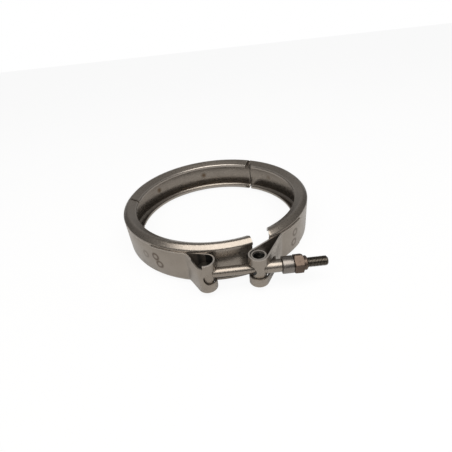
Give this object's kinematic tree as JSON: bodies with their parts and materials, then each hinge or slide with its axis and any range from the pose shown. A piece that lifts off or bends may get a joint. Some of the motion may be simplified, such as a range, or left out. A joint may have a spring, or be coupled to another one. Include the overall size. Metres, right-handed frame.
{
  "type": "v-band coupling clamp",
  "caption": "Hinged ring of channel-section retainers in an outer band, drawn shut round a pair of flanges by a T-bolt, trunnion and locknut.",
  "frame": {"origin": "centre of the ring, at the middle of its height", "axes": "+Z along the ring's axis; +X along the T-bolt from its head to its free end; the closure is at -Y"},
  "size_m": [0.15, 0.1628, 0.0306],
  "materials": {
    "retainer_steel": "satin rolled stainless sheet, bright on the rolled shoulders",
    "band_steel": "satin stainless strip with small brown weld marks",
    "bolt_steel": "dull rolled thread",
    "trunnion_steel": "satin steel tube, warmer at the weld",
    "collar_steel": "fine turned steel",
    "nut_steel": "brown plated steel"
  },
  "bodies": {
    "back": {"retainer_back": "retainer_steel", "band_back": "band_steel"},
    "right": {"retainer_right": "retainer_steel", "band_right": "band_steel"},
    "left": {"retainer_left": "retainer_steel", "band_left": "band_steel"},
    "bolt": {"t_bolt": "bolt_steel"},
    "trunnion": {"trunnion_tube": "trunnion_steel", "trunnion_sleeve": "trunnion_steel"},
    "spacer": {"spacer_collar": "collar_steel"},
    "nut": {"locknut": "nut_steel"}
  },
  "joints": [
    {"name": "right_flex", "type": "hinge", "parent": "back", "child": "right", "pos_m": [0.03815, 0.06399, 0], "axis": [0, 0, 1], "range_deg": [-2.36, 2.92]},
    {"name": "left_flex", "type": "hinge", "parent": "back", "child": "left", "pos_m": [-0.0744, 0.0039, 0], "axis": [0, 0, 1], "range_deg": [-0.65, 0.54]},
    {"name": "bolt_pivot", "type": "hinge", "parent": "left", "child": "bolt", "pos_m": [-0.0091, -0.0813, 0], "axis": [0, 0, 1], "range_deg": [-0.54, 0.65]},
    {"name": "trunnion_pivot", "type": "hinge", "parent": "right", "child": "trunnion", "pos_m": [0.0244, -0.0813, 0], "axis": [0, 0, 1], "range_deg": [-2.92, 2.36]},
    {"name": "spacer_slide", "type": "slide", "parent": "bolt", "child": "spacer", "axis": [1, 0, 0], "range_m": [-0.00668, 0.00826]},
    {"name": "nut_spin", "type": "hinge", "parent": "spacer", "child": "nut", "pos_m": [0.05, -0.0813, 0], "axis": [1, 0, 0], "range_deg": [-2610, 3240]}
  ],
  "couplings": [
    {"joint": "right_flex", "follows": "nut_spin", "ratio": 0.0008845},
    {"joint": "left_flex", "follows": "nut_spin", "ratio": -0.00018621},
    {"joint": "bolt_pivot", "follows": "nut_spin", "ratio": 0.00018621},
    {"joint": "trunnion_pivot", "follows": "nut_spin", "ratio": -0.0008845},
    {"joint": "spacer_slide", "follows": "nut_spin", "m_per_rad": 0.00014438}
  ]
}
